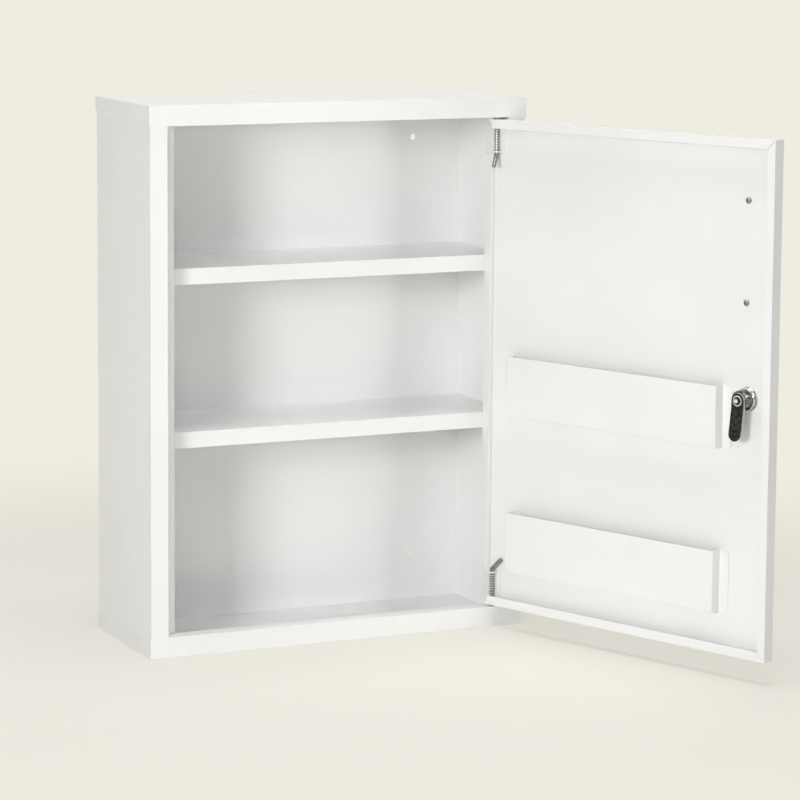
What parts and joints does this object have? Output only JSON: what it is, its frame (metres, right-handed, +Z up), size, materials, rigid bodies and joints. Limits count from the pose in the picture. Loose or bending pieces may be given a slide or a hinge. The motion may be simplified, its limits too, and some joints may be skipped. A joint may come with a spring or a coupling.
{
  "type": "medicine cabinet",
  "caption": "Lockable steel wall cabinet with fixed shelves and a door with inner pockets, a cam lock and sprung hinge pins.",
  "frame": {"origin": "middle of the cabinet's base, on the surface it stands on", "axes": "+X to the cabinet's right as seen from the front, +Y to the back, +Z up"},
  "size_m": [0.516, 0.4725, 0.535],
  "materials": {
    "white_paint": "satin powder coat",
    "zinc": "bright zinc plate",
    "chrome": "polished",
    "black_metal": "satin black"
  },
  "bodies": {
    "cabinet": {"left_side_panel": "white_paint", "right_side_panel": "white_paint", "back_panel": "white_paint", "top_cap": "white_paint", "bottom_cap": "white_paint", "upper_shelf": "white_paint", "lower_shelf": "white_paint"},
    "door": {"door_panel": "white_paint", "upper_door_pocket": "white_paint", "lower_door_pocket": "white_paint", "top_hinge_bracket": "white_paint", "bottom_hinge_bracket": "white_paint", "top_hinge_spring": "zinc", "bottom_hinge_spring": "zinc", "lock_housing": "chrome", "lock_washer": "chrome", "lock_nut": "chrome", "pull_handle": "chrome", "handle_screws": "black_metal"},
    "top_pin": {"top_hinge_pin": "zinc", "top_pin_clip": "zinc"},
    "bottom_pin": {"bottom_hinge_pin": "zinc", "bottom_pin_clip": "zinc"},
    "lock_core": {"lock_plug": "chrome", "lock_cam": "black_metal", "cam_washer": "chrome", "cam_screw": "chrome"},
    "key": {"key": "chrome"}
  },
  "joints": [
    {"name": "door_hinge", "type": "hinge", "parent": "cabinet", "child": "door", "pos_m": [0.1707, -0.0687, 0.2675], "axis": [0, 0, 1], "range_deg": [-111.2, 8.8]},
    {"name": "top_pin_pull", "type": "slide", "parent": "door", "child": "top_pin", "axis": [0, 0, -1], "range_m": [0, 0.0065], "stiffness_N_per_m": 400, "springref_m": -0.01, "deforming": ["top_hinge_spring"]},
    {"name": "bottom_pin_pull", "type": "slide", "parent": "door", "child": "bottom_pin", "axis": [0, 0, 1], "range_m": [0, 0.0065], "stiffness_N_per_m": 400, "springref_m": -0.01, "deforming": ["bottom_hinge_spring"]},
    {"name": "lock_turn", "type": "hinge", "parent": "door", "child": "lock_core", "pos_m": [0.28494, -0.36322, 0.2675], "axis": [-0.9323, -0.3616, 0], "range_deg": [0, 90]},
    {"name": "key_pull", "type": "slide", "parent": "lock_core", "child": "key", "axis": [0.9323, 0.3616, 0], "range_m": [0, 0.03]}
  ]
}
